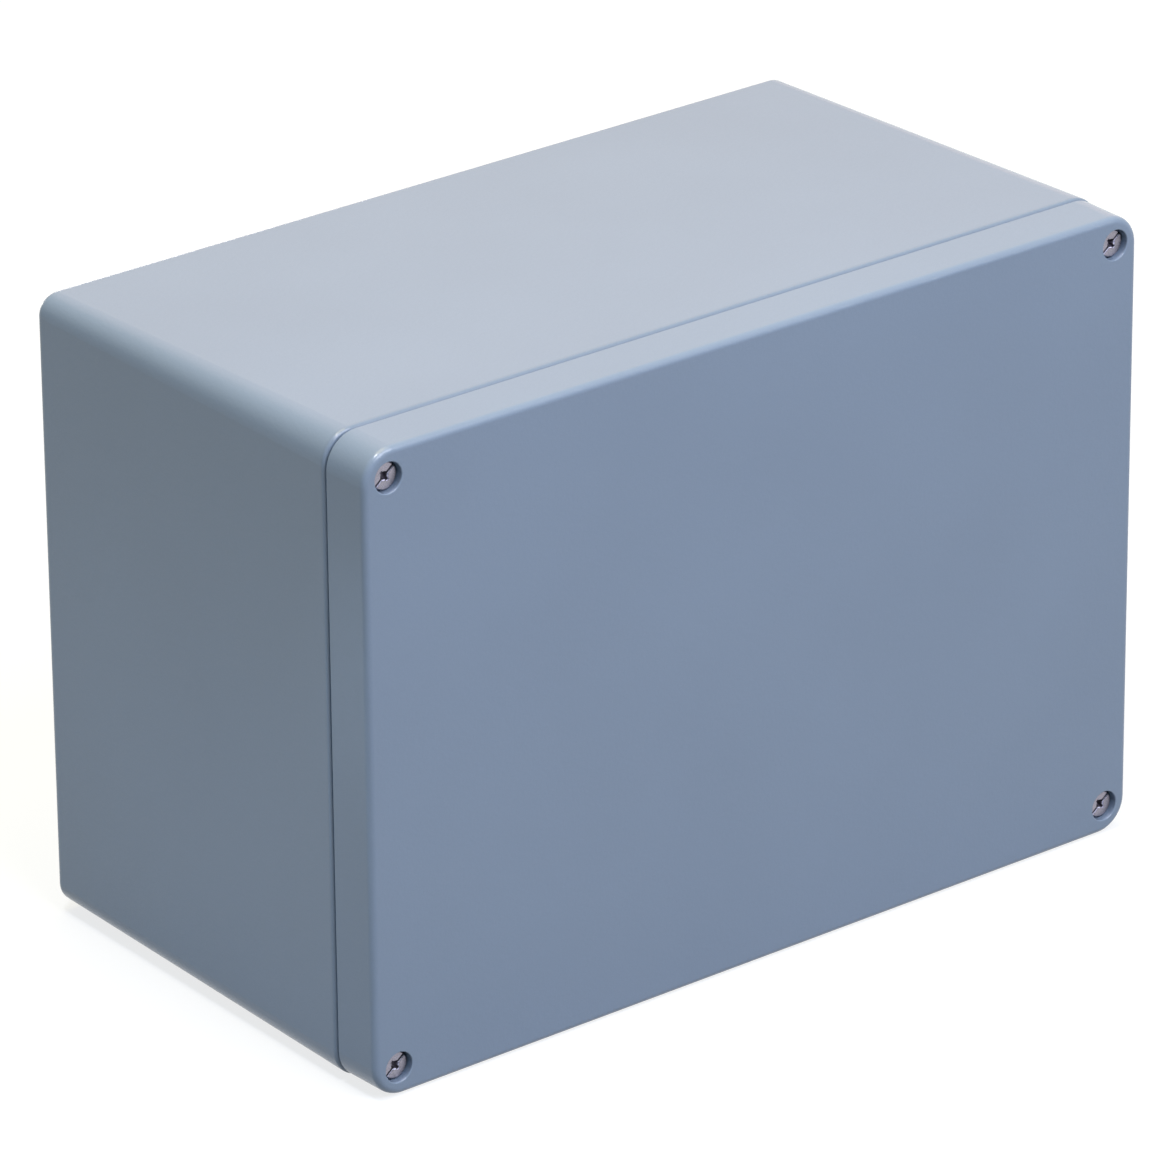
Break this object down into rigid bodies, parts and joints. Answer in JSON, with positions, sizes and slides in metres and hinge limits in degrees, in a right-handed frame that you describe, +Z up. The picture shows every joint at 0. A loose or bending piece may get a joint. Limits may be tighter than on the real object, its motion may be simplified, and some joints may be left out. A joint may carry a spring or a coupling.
{
  "type": "die cast aluminium box",
  "caption": "Deep powder coated die cast enclosure with a drafted base, a sealed lid on captive screws in the corners, and wall fixing holes through the base.",
  "frame": {"origin": "middle of the underside: the centre of the bounding box in X and Y, at its lowest height", "axes": "+X along the long side, +Y from the lid to the back, +Z up, with the box standing on its long side and the lid facing -Y"},
  "size_m": [0.33, 0.183, 0.231],
  "materials": {
    "powder_coat": "satin",
    "seal": "matte",
    "screw_steel": "satin",
    "nylon": "matte",
    "brass": "satin"
  },
  "bodies": {
    "root": {"base": "powder_coat", "lid": "powder_coat", "lid_gasket": "seal", "lid_screw_top_left": "screw_steel", "lid_screw_top_right": "screw_steel", "lid_screw_bottom_left": "screw_steel", "lid_screw_bottom_right": "screw_steel", "retaining_washer_top_left": "nylon", "retaining_washer_top_right": "nylon", "retaining_washer_bottom_left": "nylon", "retaining_washer_bottom_right": "nylon", "base_earth_screw": "brass", "lid_earth_screw": "brass", "base_earth_spring_washer": "screw_steel", "lid_earth_spring_washer": "screw_steel", "base_earth_clamp_washer": "brass", "lid_earth_clamp_washer": "brass"}
  },
  "joints": []
}
